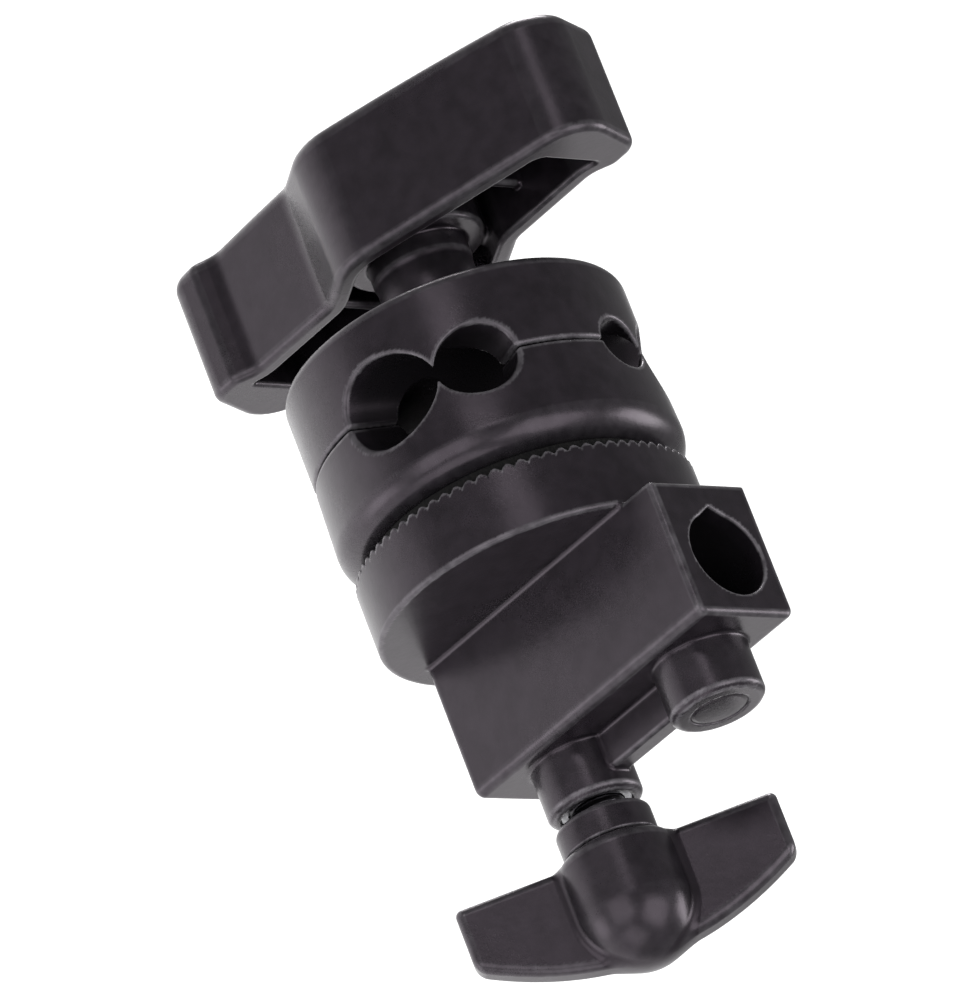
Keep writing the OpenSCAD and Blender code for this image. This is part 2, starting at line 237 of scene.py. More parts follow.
# A thread's depth, as a share of its pitch, and its height at steps along one pitch.
THREAD_DEPTH = 0.54
CREST = (0, 0.1, 0.55, 1, 1, 0.55, 0.1, 0)
THREAD_FADE = 0.6


def new_object(name, points, faces):
    mesh = bpy.data.meshes.new(name)
    mesh.from_pydata((np.asarray(points) * MM).tolist(), [], faces)
    mesh.validate()
    obj = bpy.data.objects.new(name, mesh)
    bpy.context.scene.collection.objects.link(obj)
    return obj


def slope_of(field, points, gap=0.02):
    """A field's gradient and its bend (Laplacian) at points."""
    here = field(*points.T)
    slope = np.empty_like(points)
    bend = np.zeros(len(points))
    for k in range(3):
        step = np.zeros(3)
        step[k] = gap
        ahead, behind = field(*(points + step).T), field(*(points - step).T)
        slope[:, k] = (ahead - behind) / (2 * gap)
        bend += (ahead + behind - 2 * here) / gap**2
    return here, slope, bend


def cast(name, field, low, high, grain, deep):
    """Closed mesh of a field's zero surface within a box, its points about grain apart.

    It stores how sharp each edge is, for the paint's lightened edges (wear and painted highlight), and
    how deep in a hole each point lies, for the paint's painted shade in holes.
    """
    grain = grain * 1
    margin = 2.5 * grain
    axes = [np.arange(a - margin, b + margin, grain) for a, b in zip(low, high)]
    x, y, z = np.meshgrid(*axes, indexing="ij", sparse=True)
    values = np.broadcast_to(field(x, y, z), [len(a) for a in axes])
    grid = openvdb.FloatGrid()
    grid.copyFromArray(np.ascontiguousarray(values, np.float32))
    points, quads = grid.convertToQuads(0.0)
    points = np.array(low) - margin + points.astype(float) * grain
    for _ in range(SETTLE_STEPS):
        here, slope, _ = slope_of(field, points)
        size = np.maximum((slope**2).sum(1), FLATTEST)
        move = slope * (here / size)[:, None]
        points = points - np.clip(move, -grain, grain)
    _, slope, bend = slope_of(field, points, EDGE_REACH)
    normals = slope / np.maximum(np.linalg.norm(slope, axis=1), 1e-6)[:, None]
    obj = new_object(name, points, quads.tolist())
    mesh = obj.data
    # edge drives the lightened edges (wear and painted highlight); deep drives the painted shade in
    # holes.
    for key, value in (("edge", bend * EDGE_GAIN), ("deep", deep(*points.T))):
        attribute = mesh.attributes.new(key, "FLOAT", "POINT")
        attribute.data.foreach_set("value", np.clip(value, 0, 1).astype(np.float32))
    mesh.shade_smooth()
    mesh.normals_split_custom_set_from_vertices(normals.tolist())
    return obj


def basis(direction):
    """Two unit vectors across a direction, and the direction as a unit vector."""
    d = unit(np.array(direction, float))
    steep = 0.9
    other = np.array([0, 0, 1.0]) if abs(d[2]) < steep else np.array([0, 1.0, 0])
    e = unit(np.cross(other, d))
    return e, np.cross(d, e), d


def eased(profile, r, steps=3):
    """A closed profile of (radius, height) with each corner off the axis rounded to r."""
    out = []
    n = len(profile)
    nearly_straight = 0.05
    for i in range(n):
        p, q, s = (np.array(profile[k % n], float) for k in (i - 1, i, i + 1))
        if q[0] < TINY:
            out.append(q)
            continue
        a, b = unit(p - q), unit(s - q)
        half = math.acos(float(np.clip(np.dot(a, b), -1, 1))) / 2
        if half > math.pi / 2 - nearly_straight:
            out.append(q)
            continue
        centre = q + unit(a + b) * r / math.sin(half)
        start, end = q + a * r / math.tan(half) - centre, q + b * r / math.tan(half) - centre
        begin = math.atan2(start[1], start[0])
        sweep = (math.atan2(end[1], end[0]) - begin + math.pi) % (2 * math.pi) - math.pi
        for k in range(steps + 1):
            angle = begin + sweep * k / steps
            out.append(centre + r * np.array([math.cos(angle), math.sin(angle)]))
    return out


def swept(profile, origin, direction, around=72):
    """Points and faces of a closed profile swept round an axis through origin."""
    e, f, d = basis(direction)
    points, rings = [], []
    for radius, height in profile:
        ring = []
        for j in range(around if radius > TINY else 1):
            t = 2 * math.pi * j / around
            ring.append(len(points))
            points.append(origin + d * height + (e * math.cos(t) + f * math.sin(t)) * radius)
        rings.append(ring)
    faces = []
    for a, b in zip(rings, rings[1:] + rings[:1]):
        if len(a) == 1 and len(b) == 1:
            continue
        for j in range(around):
            k = (j + 1) % around
            if len(a) == 1:
                faces.append((a[0], b[k], b[j]))
            elif len(b) == 1:
                faces.append((a[j], a[k], b[0]))
            else:
                faces.append((a[j], a[k], b[k], b[j]))
    return points, faces


def finish_mesh(obj, sharp=35):
    """Outward normals, merged seams, and smooth shading except across sharp edges."""
    seam = 1e-7
    bm = bmesh.new()
    bm.from_mesh(obj.data)
    bmesh.ops.remove_doubles(bm, verts=bm.verts, dist=seam)
    bmesh.ops.recalc_face_normals(bm, faces=bm.faces)
    bm.to_mesh(obj.data)
    bm.free()
    obj.data.shade_smooth()
    obj.data.set_sharp_from_angle(angle=math.radians(sharp))
    return obj


def turned(name, profile, places, ease=0.2, around=72):
    """A turned piece, or several alike, at (origin, direction) places."""
    points, faces = [], []
    for origin, direction in places:
        p, f = swept(eased(profile, ease), np.array(origin, float), direction, around)
        faces += [tuple(i + len(points) for i in face) for face in f]
        points += p
    return finish_mesh(new_object(name, points, faces))


def ring_profile(inner, outer, height):
    return [(inner, 0), (outer, 0), (outer, height), (inner, height)]


def rod_profile(radius, height):
    return [(0, 0), (radius, 0), (radius, height), (0, height)]


def threaded(name, ends, span, radius, origin, direction, around=64):
    """A rod with a true helical thread over span, and plain (radius, height) ends before and after."""
    depth = THREAD_DEPTH * PITCH
    per = len(CREST)
    e, f, d = basis(direction)
    low, high = span
    rows = int((high - low) / PITCH * per) + 3 * per
    points, faces = [], []

    def point(r, h, t):
        points.append(origin + d * h + (e * math.cos(t) + f * math.sin(t)) * r)
        return len(points) - 1

    def plain(profile):
        return [[point(r, h, 2 * math.pi * j / around) for j in range(around)] for r, h in profile]

    plain_low = plain(ends[0])
    thread = []
    for k in range(rows):
        ring = []
        for j in range(around):
            t = 2 * math.pi * j / around
            h = low + (k / per + j / around - 2) * PITCH
            fade = min(max(min(h - low, high - h) / (THREAD_FADE * PITCH), 0), 1)
            r = radius - depth * (1 - CREST[k % per] * fade)
            ring.append(point(r, min(max(h, low), high), t))
        thread.append(ring)
    plain_high = plain(ends[1])
    for rings in (plain_low + [thread[0]], [thread[-1]] + plain_high):
        for a, b in zip(rings, rings[1:]):
            for j in range(around):
                k = (j + 1) % around
                faces.append((a[j], a[k], b[k], b[j]))
    for k in range(rows - 1):
        for j in range(around - 1):
            faces.append((thread[k][j], thread[k][j + 1], thread[k + 1][j + 1], thread[k + 1][j]))
        if k + per + 1 < rows:
            a, b = thread[k + per][0], thread[k + per + 1][0]
            faces.append((thread[k][-1], a, b, thread[k + 1][-1]))
    faces.append(tuple(plain_low[0][::-1]))
    faces.append(tuple(plain_high[-1]))
    return finish_mesh(new_object(name, points, faces), sharp=50)


def drilled(obj, origin, direction, radius, length, around=32, sharp=40):
    """Cuts a round hole through obj, from origin along direction."""
    points, faces = swept(rod_profile(radius, length), np.array(origin, float), direction, around)
    cutter = finish_mesh(new_object("cutter", points, faces))
    change = obj.modifiers.new("hole", "BOOLEAN")
    change.operation, change.object, change.solver = "DIFFERENCE", cutter, "EXACT"
    graph = bpy.context.evaluated_depsgraph_get()
    mesh = bpy.data.meshes.new_from_object(obj.evaluated_get(graph))
    obj.modifiers.clear()
    old = obj.data
    obj.data = mesh
    bpy.data.meshes.remove(old)
    bpy.data.objects.remove(cutter)
    obj.data.shade_smooth()
    obj.data.set_sharp_from_angle(angle=math.radians(sharp))
    return obj


# ---- Materials ----

# Base colours, linear.
PAINT_DARK, PAINT_LIGHT = (0.0060, 0.0050, 0.0066), (0.0135, 0.0110, 0.0143)
# Sharp edges are lightened towards this colour: partly wear, partly painted highlight.
PAINT_WEAR_AND_HIGHLIGHT = (0.190, 0.182, 0.196)
# Painted shade on the walls of holes.
PAINT_HOLE_SHADE = (0.0070, 0.0062, 0.0074)
PAINT_SHEEN = (1.0, 0.85, 0.99, 1)
FIBRE_DARK, FIBRE_LIGHT = (0.005, 0.005, 0.0055), (0.017, 0.016, 0.016)
PLASTIC_DARK, PLASTIC_LIGHT = (0.018, 0.017, 0.018), (0.026, 0.025, 0.026)
FLOOR_DARK, FLOOR_LIGHT = (0.90, 0.90, 0.90), (0.92, 0.92, 0.92)
STAIN_DARKENS = 0.72


class Shader:
    """A Principled material whose textures sit in the part's own frame."""

    def __init__(self, name, **constants):
        self.material = bpy.data.materials.new(name)
        self.material.use_nodes = True
        self.nodes = self.material.node_tree.nodes
        self.links = self.material.node_tree.links
        self.surface = self.nodes["Principled BSDF"]
        self.place = self.nodes.new("ShaderNodeTexCoord").outputs["Object"]
        for key, value in constants.items():
            self.surface.inputs[key.replace("_", " ")].default_value = value

    def noise(self, per_mm, detail=3, stretch=(1, 1, 1)):
        """Noise of about per_mm bumps to the millimetre."""
        mapping = self.nodes.new("ShaderNodeMapping")
        mapping.inputs["Scale"].default_value = [per_mm / MM * s for s in stretch]
        self.links.new(self.place, mapping.inputs["Vector"])
        texture = self.nodes.new("ShaderNodeTexNoise")
        texture.inputs["Scale"].default_value = 1
        texture.inputs["Detail"].default_value = detail
        self.links.new(mapping.outputs["Vector"], texture.inputs["Vector"])
        return texture.outputs["Fac"]

    def attribute(self, name):
        node = self.nodes.new("ShaderNodeAttribute")
        node.attribute_name = name
        return node.outputs["Fac"]

    def remap(self, value, from_low, from_high, to_low, to_high):
        node = self.nodes.new("ShaderNodeMapRange")
        for socket, number in zip(("From Min", "From Max", "To Min", "To Max"),
                                  (from_low, from_high, to_low, to_high)):
            node.inputs[socket].default_value = number
        self.links.new(value, node.inputs["Value"])
        return node.outputs["Result"]

    def times(self, a, b):
        """The product, kept within 0 and 1."""
        node = self.nodes.new("ShaderNodeMath")
        node.operation = "MULTIPLY"
        node.use_clamp = True
        self.links.new(a, node.inputs[0])
        self.links.new(b, node.inputs[1])
        return node.outputs["Value"]

    def mix(self, share, one, other):
        """A colour between two. Each is a constant or another node's output."""
        node = self.nodes.new("ShaderNodeMix")
        node.data_type = "RGBA"
        self.links.new(share, node.inputs["Factor"])
        # A mix node has sockets for every data type. These three are the colour's.
        first, second, result = node.inputs[6], node.inputs[7], node.outputs[2]
        for socket, colour in ((first, one), (second, other)):
            if isinstance(colour, tuple):
                socket.default_value = (*colour, 1)
            else:
                self.links.new(colour, socket)
        return result

    def bump(self, height, depth_mm, under=None):
        node = self.nodes.new("ShaderNodeBump")
        node.inputs["Strength"].default_value = 1
        node.inputs["Distance"].default_value = depth_mm * MM
        self.links.new(height, node.inputs["Height"])
        if under is not None:
            self.links.new(under, node.inputs["Normal"])
        return node.outputs["Normal"]

    def set(self, **sockets):
        """Links the outputs to the surface's sockets, and gives the finished material."""
        for key, output in sockets.items():
            self.links.new(output, self.surface.inputs[key.replace("_", " ")])
        return self.material


def black_paint():
    """Semi-gloss black enamel on a die casting: orange peel, edges lightened as wear and painted
    highlight, and painted shade inside the holes, where the colour is darker and the reflection weaker.
    """
    s = Shader("black_paint", Specular_Tint=PAINT_SHEEN)
    blotch = s.noise(0.05, 4)
    mottle = s.noise(0.28, 5)
    peel = s.noise(0.9, 2)
    speck = s.noise(3.5, 3)
    edge = s.times(s.attribute("edge"), s.remap(s.noise(0.5, 4), 0.3, 0.7, 0.3, 1))
    deep = s.attribute("deep")
    base = s.mix(s.remap(mottle, 0.35, 0.65, 0, 1), PAINT_DARK, PAINT_LIGHT)
    # Sharp edges lightened: wear and painted highlight.
    edge_wear_and_highlight = s.mix(s.remap(edge, 0, 1, 0, 0.85), base, PAINT_WEAR_AND_HIGHLIGHT)
    # Painted shade deep in holes: a darker colour here, and a weaker reflection below.
    colour = s.mix(deep, edge_wear_and_highlight, PAINT_HOLE_SHADE)
    rough = s.remap(s.times(blotch, s.remap(speck, 0.3, 0.7, 0.8, 1.2)), 0.2, 0.7, 0.24, 0.33)
    normal = s.bump(peel, 0.018, s.bump(speck, 0.007))
    return s.set(Base_Color=colour, Roughness=rough, Normal=normal,
                 Specular_IOR_Level=s.remap(deep, 0, 1, 0.5, 0.22))


def steel(name, tone, rough, streak=(1, 1, 1), per_mm=1.2):
    """Bare or plated steel with fine working marks."""
    s = Shader(name, Metallic=1.0)
    stain = s.noise(0.12, 4)
    marks = s.noise(per_mm, 3, streak)
    dark = tuple(c * STAIN_DARKENS for c in tone)
    colour = s.mix(s.remap(stain, 0.35, 0.7, 0, 1), tone, dark)
    roughness = s.remap(s.times(marks, s.remap(stain, 0.3, 0.7, 0.8, 1.2)), 0.2, 0.8,
                        rough - 0.08, rough + 0.12)
    return s.set(Base_Color=colour, Roughness=roughness, Normal=s.bump(marks, 0.006))


def black_fibre():
    """Matt friction fibre, with short flecks."""
    s = Shader("black_fibre", Specular_IOR_Level=0.2)
    fleck = s.noise(2.2, 5, (1, 1, 2.5))
    colour = s.mix(s.remap(fleck, 0.4, 0.65, 0, 1), FIBRE_DARK, FIBRE_LIGHT)
    return s.set(Base_Color=colour, Roughness=s.remap(fleck, 0.2, 0.8, 0.7, 0.95),
                 Normal=s.bump(fleck, 0.04))


def black_plastic():
    """Moulded plastic with a fine spark-eroded grain."""
    s = Shader("black_plastic", Specular_IOR_Level=0.5)
    grain = s.noise(2.6, 2)
    broad = s.noise(0.1, 3)
    colour = s.mix(s.remap(broad, 0.3, 0.7, 0, 1), PLASTIC_DARK, PLASTIC_LIGHT)
    return s.set(Base_Color=colour, Roughness=s.remap(grain, 0.3, 0.7, 0.42, 0.58),
                 Normal=s.bump(grain, 0.02))


MATERIALS = {
    "black_paint": black_paint(),
    "plated_steel": steel("plated_steel", (0.50, 0.50, 0.52), 0.30),
    "black_oxide": steel("black_oxide", (0.055, 0.052, 0.058), 0.32, per_mm=1.6),
    "spring_steel": steel("spring_steel", (0.30, 0.30, 0.32), 0.34, per_mm=2.0),
    "ground_steel": steel("ground_steel", (0.62, 0.62, 0.64), 0.20, (0.2, 1, 1), 2.5),
    "black_fibre": black_fibre(),
    "black_plastic": black_plastic(),
    "brass": steel("brass", (0.66, 0.47, 0.20), 0.30),
}
SLOTS = {p["node"]: p["material_slot"] for p in frame["record"]["subparts"]}


def install(obj, node):
    """Shows obj in place of a CAD node, with that node's material."""
    obj.data.materials.clear()
    obj.data.materials.append(MATERIALS[SLOTS[node]])
    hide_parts(node)
    return obj


BODY_OF = {n: b for b, members in frame["record"]["behaviour"]["bodies"].items() for n in members}


def show(obj, node):
    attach(install(obj, node), BODY_OF[node])


# ---- The casting: socket block, bosses and swivel disc ----

BLOCK_LEN = MOUNTS["socket"]["dims"]["length_mm"]
SOCKET_R = MOUNTS["socket"]["dims"]["r_mm"]
# The block's faces, from the socket's axis: +Y, -Y and -X.
BLOCK_FRONT, BLOCK_BACK, BLOCK_FOOT = 11.9, 10.5, 12.0
LONG_EDGE, END_EDGE = 1.8, 1.1
# The V seat's tip, from the socket's axis, half its angle, and where it opens into the socket.
SEAT_TIP, SEAT_HALF, SEAT_FROM = 9.3, math.radians(58), 6.5
BOSS_END = box_mm("body_casting")[0][0]
BOSS_R, BOSS_CHAMFER = 8.6, 0.95
# The rib between the bosses: half its width, and how far it stands off the block.
RIB_HALF, RIB_HIGH, RIB_EDGE = 2.3, 6.8, 0.9
DISC_R = radius_of("body_casting")
DISC_EDGE = 0.8
RIM_TO = station("body_casting", 1)
RIM_R = radius_of("friction_disc") + 0.3
FIBRE_FROM = station("friction_disc", 0)
TEETH, TOOTH_DEEP, TOOTH_EDGE = 80, 0.9, 0.3
DISC_FILLET, BOSS_FILLET, MOUTH_EDGE = 0.9, 0.7, 0.45
# The bolt's bore starts here. Its cross pin lies this far along it, in a hole this deep past the axis.
BOLT_FROM = -1.5
PIN_AT, PIN_HOLE_R, PIN_HOLE_DEEP = 6.4, 2, 6.5
# The boss's bores: for the screw, for its bush, and for the badge in the second boss.
SCREW_HOLE_R, SCREW_HOLE_TO = 5.2, -SOCKET_R + 3
BUSH_R, BUSH_DEEP = 6.6, 10.2
BADGE_R, BADGE_DEEP = 5.2, 1.2


def block_field(x, y, z):
    section = both(-BLOCK_FOOT - x, between(y, -BLOCK_BACK, BLOCK_FRONT), LONG_EDGE)
    section = both(section, x - HEAD[0], 0.5)
    return both(section, between(z, 0, BLOCK_LEN), END_EDGE)


def disc_field(x, y, z):
    h, out = x - HEAD[0], off_bolt(y, z)
    recess = both(out - RIM_R, FIBRE_FROM - h, CRISP)
    # The rim's teeth have round tops, with sharp valleys between them.
    turn = np.arctan2(y - HEAD[1], HEAD[2] - z) * TEETH / 2 - math.pi / 4
    top = RIM_TO - TOOTH_DEEP * (1 - np.abs(np.sin(turn)))
    steepest = TOOTH_DEEP * TEETH / 2 / DISC_R
    teeth = (h - top) / math.hypot(1, steepest)
    disc = both(both(out - DISC_R, -h, DISC_EDGE), teeth, TOOTH_EDGE)
    return cut(disc, recess, EASED)


def boss_field(x, y, z, at_z):
    out = off_axis(y, z, 0, at_z)
    boss = both(out - BOSS_R, between(x, BOSS_END, 0), 0.3)
    chamfer = (out - BOSS_R + BOSS_CHAMFER + BOSS_END - x) / math.sqrt(2)
    return both(boss, chamfer, EASED)


def socket_field(x, y, z):
    """The stand pin's hole: round, with a V seat on the disc's side."""
    round_hole = np.hypot(x, y) - SOCKET_R
    seat = x * math.sin(SEAT_HALF) + np.abs(y) * math.cos(SEAT_HALF) - SEAT_TIP * math.sin(SEAT_HALF)
    return np.minimum(round_hole, both(seat, SEAT_FROM - x))


def casting_field(x, y, z):
    low_boss, high_boss = (boss_field(x, y, z, SCREW_Z + k * BOSS_PITCH) for k in (0, 1))
    rib = both(between(y, -RIB_HALF, RIB_HALF), -BLOCK_FOOT - RIB_HIGH - x, RIB_EDGE)
    rib = both(rib, between(z, SCREW_Z, SCREW_Z + BOSS_PITCH))
    rib = both(rib, x)
    shape = join(block_field(x, y, z), disc_field(x, y, z), DISC_FILLET)
    shape = join(shape, join(join(low_boss, high_boss), rib, BOSS_FILLET), BOSS_FILLET)
    shape = cut(shape, socket_field(x, y, z), MOUTH_EDGE)
    h, out = x - HEAD[0], off_bolt(y, z)
    shape = cut(shape, both(out - BOLT_R, BOLT_FROM - h), CRISP)
    pin = off_line(x, y, z, (HEAD[0] + PIN_AT, 0, HEAD[2]), (0, 1, 0)) - PIN_HOLE_R
    shape = cut(shape, both(pin, y - HEAD[1] - PIN_HOLE_DEEP), CRISP)
    screw_out = off_axis(y, z, 0, SCREW_Z)
    screw_hole = both(screw_out - SCREW_HOLE_R, between(x, BOSS_END - 5, SCREW_HOLE_TO))
    shape = cut(shape, screw_hole, CRISP)
    shape = cut(shape, both(screw_out - BUSH_R, x - BOSS_END - BUSH_DEEP), EASED)
    badge = off_axis(y, z, 0, SCREW_Z + BOSS_PITCH) - BADGE_R
    return cut(shape, both(badge, x - BOSS_END - BADGE_DEEP), CRISP)


# ---- Jaws ----

INNER_FROM, PART_FROM = station("inner_jaw", 0), station("inner_jaw", 1)
OUTER_FROM, OUTER_TO = station("outer_jaw", 0), station("outer_jaw", 1)
JAW_R = radius_of("outer_jaw")
# The inner jaw is widest at this height over its underside, and its foot is rounded.
JAW_FOOT_R, JAW_FOOT_H, JAW_FOOT_EDGE = radius_of("inner_jaw"), 4.2, 5.4
JAW_TOP_EDGE, PARTING_EDGE, JAW_HOLE_EDGE = 1.8, 0.7, 0.3
SPRING_FROM, SPRING_TO = station("jaw_spring", 0), station("jaw_spring", 1)
POCKET_R = 6.8
PIN_R = 2.25
PIN_FROM, PIN_TO = station("jaw_guide_pins", 0), station("jaw_guide_pins", 1)
# The rounded mouth of each tube groove.
LIP = 0.75


def guide_places():
    """Centres of the two guide pins, from their node's own points."""
    points = np.array([v.co for v in frame["nodes"]["jaw_guide_pins"].data.vertices]) / MM
    across = points[:, 1:] - HEAD[1:]
    far = across @ unit(across[np.argmax(np.linalg.norm(across, axis=1))]) > 0
    return [(group.max(0) + group.min(0)) / 2 + HEAD[1:] for group in (across[far], across[~far])]


GUIDES = guide_places()


def jaw_holes(y, z, bolt_out, pocket, pin_r, pin_end):
    """The bolt's bore, the spring's pocket and the pins' holes, down to their ends."""
    holes = bolt_out - BOLT_R - 0.05
    holes = np.minimum(holes, both(bolt_out - POCKET_R, pocket))
    for py, pz in GUIDES:
        holes = np.minimum(holes, both(off_axis(y, z, py, pz) - pin_r, pin_end))
    return holes


def inner_jaw_field(x, y, z):
    h, out = x - HEAD[0], off_bolt(y, z)
    lean = (JAW_FOOT_R - JAW_R) / (PART_FROM - INNER_FROM - JAW_FOOT_H)
    wall = (out - JAW_FOOT_R + (h - INNER_FROM - JAW_FOOT_H) * lean) / math.hypot(1, lean)
    jaw = both(both(wall, INNER_FROM - h, JAW_FOOT_EDGE), h - PART_FROM, PARTING_EDGE)
    jaw = cut(jaw, groove_field(x, y, z), LIP)
    holes = jaw_holes(y, z, out, SPRING_FROM - h, PIN_R, PIN_FROM - h)
    return cut(jaw, holes, JAW_HOLE_EDGE)


def outer_jaw_field(x, y, z):
    h, out = x - HEAD[0], off_bolt(y, z)
    jaw = both(both(out - JAW_R, h - OUTER_TO, JAW_TOP_EDGE), OUTER_FROM - h, PARTING_EDGE)
    jaw = cut(jaw, groove_field(x, y, z), LIP)
    holes = jaw_holes(y, z, out, h - SPRING_TO, PIN_R + 0.1, h - PIN_TO - 0.5)
    return cut(jaw, holes, JAW_HOLE_EDGE)


# ---- T-handle ----

COLLAR_FROM, GRIP_TO = station("t_handle", 0), station("t_handle", 1)
GRIP_H = 26.0
GRIP_FROM = GRIP_TO - GRIP_H
# The grip's top bows to this radius along the arms.
CROWN_R = 630.0
GRIP_TOP_EDGE, GRIP_FOOT_EDGE = 2.8, 1.5
INSERT_TO = station("handle_insert", 1)
INSERT_R = radius_of("handle_insert")
CAVITY_R = radius_of("handle_cap")
COLLAR_R = 8.8
FLANGE_R, FLANGE_H = 11.5, 2.4
# The arms are hollow from below: side wall, roof, and the hollow's ends along the arms.
WALL, ROOF, HOLLOW_END = 3.8, 4.0, 37.3
# A rib stands across each hollow, and a web round the collar.
RIB_FROM, RIB_TO, RIB_LOW = 19, 21, 6
WEB_WALL, WEB_LOW, WEB_EDGE = 2.5, 1.8, 0.8
# Half the grip's outline across the bolt: corners (along the arms, across them, radius).
GRIP_HALF = [
    (-37, -15.2, 3), (-33.5, -12.6, 5), (-12.7, -12.4, 6),
    (-0.3, -19.2, 13), (50.2, -3.6, 8.5), (43.4, 15.3, 4.5),
]
GRIP = outline(GRIP_HALF + [(-x, -y, r) for x, y, r in GRIP_HALF])


def grip_hollow(h, out, u, side):
    hollow = both(both(side + WALL, np.abs(u) - HOLLOW_END, 1.5), h - GRIP_TO + ROOF, 2.0)
    rib = both(between(np.abs(u), RIB_FROM, RIB_TO), GRIP_FROM + RIB_LOW - h, 0.7)
    cup = both(out - CAVITY_R - WEB_WALL, INSERT_TO - WEB_LOW - h, WEB_EDGE)
    web = join(out - COLLAR_R, cup, WEB_EDGE)
    return cut(cut(hollow, rib, WEB_EDGE), web, 1.2)


def handle_field(x, y, z):
    h, out = x - HEAD[0], off_bolt(y, z)
    u, v = HEAD[2] - z, y - HEAD[1]
    side = outline_field(GRIP, u, v)
    grip = both(side, h - GRIP_TO + u**2 / (2 * CROWN_R), GRIP_TOP_EDGE)
    grip = cut(both(grip, GRIP_FROM - h, GRIP_FOOT_EDGE), grip_hollow(h, out, u, side), 0.8)
    collar = both(out - COLLAR_R, between(h, COLLAR_FROM, GRIP_TO - ROOF))
    flange = both(out - FLANGE_R, between(h, COLLAR_FROM, COLLAR_FROM + FLANGE_H), 0.5)
    shape = join(grip, join(collar, flange, 0.8), 1.0)
    bore = both(out - INSERT_R, h - INSERT_TO - 1)
    return cut(shape, np.minimum(bore, both(out - CAVITY_R, INSERT_TO - h)), EASED)


# ---- Wing knob ----

NECK_FROM = box_mm("wing_knob")[1][0]
NECK_R, NECK_LEN = 8.6, 6.0
HUB_R, DOME = 10.5, 11.0
HUB_TO = NECK_FROM - box_mm("wing_knob")[0][0]
# The two blades: half their span, thickness, and their far edge at the hub and at the tips.
WING_HALF, WING_T = 29.2, 5.6
WING_MID, WING_TIP, WING_TOP = 21.0, 12.4, 0.8
WING_TURN = math.radians(137.3)
# The key pin through the neck: its turn about the screw, radius, height and depth past the axis.
KEY_TURN = math.radians(-42)
KEY_R, KEY_AT, KEY_DEEP = 1.5, 3, 6.2
ROOT_R = BOLT_R - THREAD_DEPTH * PITCH


def key_line():
    """A point and the direction of the knob's cross pin."""
    point = (NECK_FROM - KEY_AT, 0, SCREW_Z)
    return point, (0, -math.cos(KEY_TURN), math.sin(KEY_TURN))


def hub_field(s, out):
    dome_from = HUB_TO - DOME
    hub = np.hypot(out, np.maximum(s - dome_from, 0) * HUB_R / DOME) - HUB_R
    return both(hub, NECK_LEN + 0.1 - s, 2.0)


def wing_field(s, along, across):
    bow = (WING_MID - WING_TIP) / WING_HALF**2
    low = NECK_LEN + WING_MID - bow * along**2
    edge = (s - low) / np.sqrt(1 + (2 * bow * along) ** 2)
    face = both(both(np.abs(along) - WING_HALF, edge, 1.5), NECK_LEN + WING_TOP - s, 1.2)
    return both(face, np.abs(across) - WING_T / 2, 1.7)


def knob_field(x, y, z):
    s, a, b = NECK_FROM - x, z - SCREW_Z, y
    out = np.hypot(a, b)
    along = a * math.cos(WING_TURN) + b * math.sin(WING_TURN)
    across = b * math.cos(WING_TURN) - a * math.sin(WING_TURN)
    neck = both(both(out - NECK_R, -s, 1.2), s - NECK_LEN + 0.4, 0.35)
    core = both(out - NECK_R + 0.6, between(s, 1, NECK_LEN + 3))
    knob = join(join(neck, core, 0.2), hub_field(s, out), 0.3)
    knob = join(knob, wing_field(s, along, across), 1.4)
    bore = both(out - ROOT_R, s - (NECK_FROM - box_mm("clamp_screw")[0][0]) - 1)
    point, direction = key_line()
    key = off_line(x, y, z, point, direction) - KEY_R
    ahead = y * direction[1] + a * direction[2]
    return cut(knob, np.minimum(bore, both(key, -KEY_DEEP - ahead)), CRISP)


# ---- Small castings with flats: nut and roller cage ----


NUT_CORNER, NUT_SLOPE = 0.9, 1.7
NUT_CHAMFER = 1.2


def nut_field(x, y, z):
    h, out = x - HEAD[0], off_bolt(y, z)
    low, high = station("bolt_stop_nut", 0), station("bolt_stop_nut", 1)
    flat = radius_of("bolt_stop_nut")
    flats = None
    for k in range(3):
        turn = math.radians(60 * k)
        one = np.abs((y - HEAD[1]) * math.cos(turn) + (z - HEAD[2]) * math.sin(turn)) - flat
        flats = one if flats is None else both(flats, one, 0.15)
    nut = both(flats, between(h, low, high), 0.1)
    past_end = np.maximum(h - high, low - h)
    corner = (out - flat - NUT_CORNER + past_end * NUT_SLOPE + NUT_CHAMFER) / 2
    return cut(both(nut, corner, 0.15), out - BOLT_R, 0.3)


# The bearing's rollers lie radially, from this radius out, each in a window of the cage.
ROLLERS, ROLLER_R, ROLLER_LEN, ROLLER_START = 12, 0.9, 4.4, 6.9
WINDOW_HALF, WINDOW_PLAY = 1, 0.1
ROLLER_H = station("needle_rollers", 0) + ROLLER_R


def cage_field(x, y, z):
    h, out = x - HEAD[0], off_bolt(y, z)
    low, high = station("roller_cage", 0), station("roller_cage", 1)
    cage = both(out - radius_of("roller_cage"), between(h, low, high), CRISP)
    cage = cut(cage, out - BOLT_R - 0.3, CRISP)
    turn = 2 * math.pi / ROLLERS
    angle = np.arctan2(y - HEAD[1], HEAD[2] - z) / turn
    angle = (angle - np.round(angle)) * turn
    beside, ahead = out * np.sin(angle), out * np.cos(angle)
    end = ROLLER_START + ROLLER_LEN
    length = between(ahead, ROLLER_START - WINDOW_PLAY, end + WINDOW_PLAY)
    window = both(np.abs(beside) - WINDOW_HALF, length, 0.15)
    return cut(cage, window, 0.12)


# Painted shade on a hole's wall, a darker colour and a weaker reflection: how near counts as the wall,
# and where from its mouth it starts.
NEAR_WALL, DEEP_FROM, DEEP_OVER = 0.6, 0.8, 3


